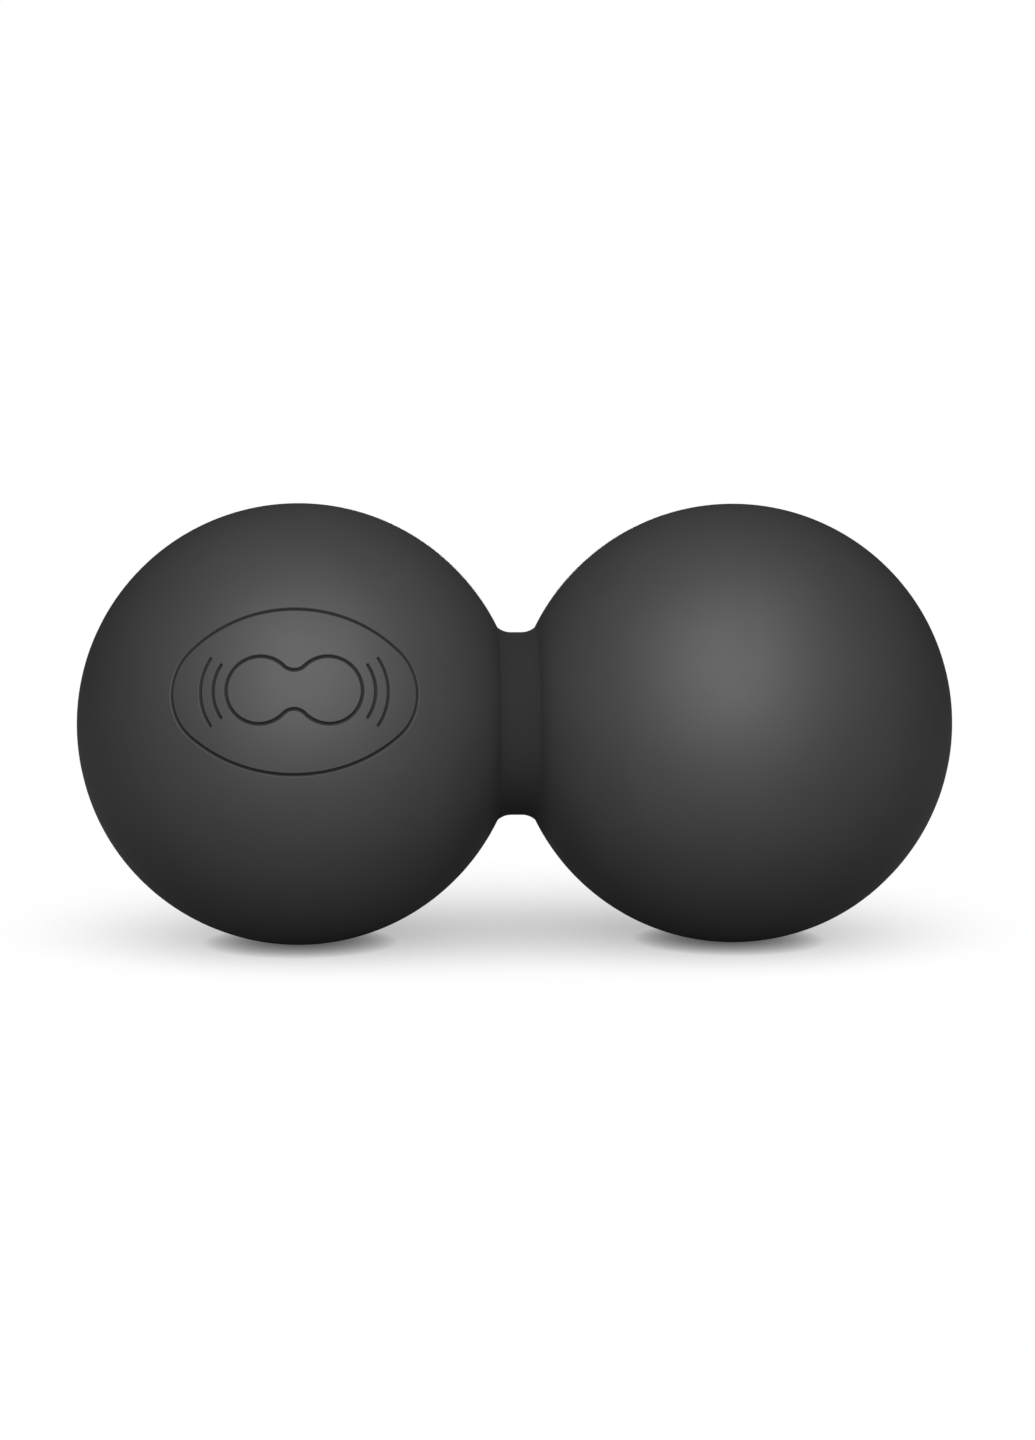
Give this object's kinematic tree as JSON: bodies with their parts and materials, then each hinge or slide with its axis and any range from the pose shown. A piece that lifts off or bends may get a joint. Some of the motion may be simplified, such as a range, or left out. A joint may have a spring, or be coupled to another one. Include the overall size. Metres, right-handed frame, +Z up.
{
  "type": "double massage ball",
  "caption": "Double massage ball: equal silicone rubber balls on a short flexible waist, with a fine engraved emblem on one ball. Rolls under back or feet, with the spine between the balls.",
  "frame": {"origin": "the point on the resting plane straight below the middle of the waist", "axes": "+X along the long axis from the ball with the emblem to the plain ball, +Y to the rear (the emblem faces -Y and a little up), +Z up"},
  "size_m": [0.125, 0.063, 0.063],
  "materials": {
    "cover_silicone": "matte",
    "link_silicone": "satin",
    "core_rubber": "matte"
  },
  "bodies": {
    "left_ball": {"left_cover_front": "cover_silicone", "left_cover_rear": "cover_silicone", "left_core_upper": "core_rubber", "left_core_lower": "core_rubber"},
    "sleeve": {"waist_sleeve": "cover_silicone"},
    "link": {"waist_link": "link_silicone"},
    "right_ball": {"right_cover_front": "cover_silicone", "right_cover_rear": "cover_silicone", "right_core_upper": "core_rubber", "right_core_lower": "core_rubber"}
  },
  "joints": [
    {"name": "waist_twist", "type": "hinge", "parent": "left_ball", "child": "sleeve", "pos_m": [0, 0, 0.0315], "axis": [1, 0, 0], "range_deg": [-15, 15], "stiffness_Nm_per_rad": 3.7, "deforming": ["waist_sleeve"]},
    {"name": "waist_bend_up_down", "type": "hinge", "parent": "sleeve", "child": "link", "pos_m": [0, 0, 0.0315], "axis": [0, 1, 0], "range_deg": [-10, 10], "stiffness_Nm_per_rad": 5.6, "deforming": ["waist_link"]},
    {"name": "waist_bend_sideways", "type": "hinge", "parent": "link", "child": "right_ball", "pos_m": [0, 0, 0.0315], "axis": [0, 0, 1], "range_deg": [-10, 10], "stiffness_Nm_per_rad": 5.6, "deforming": ["waist_link"]}
  ]
}
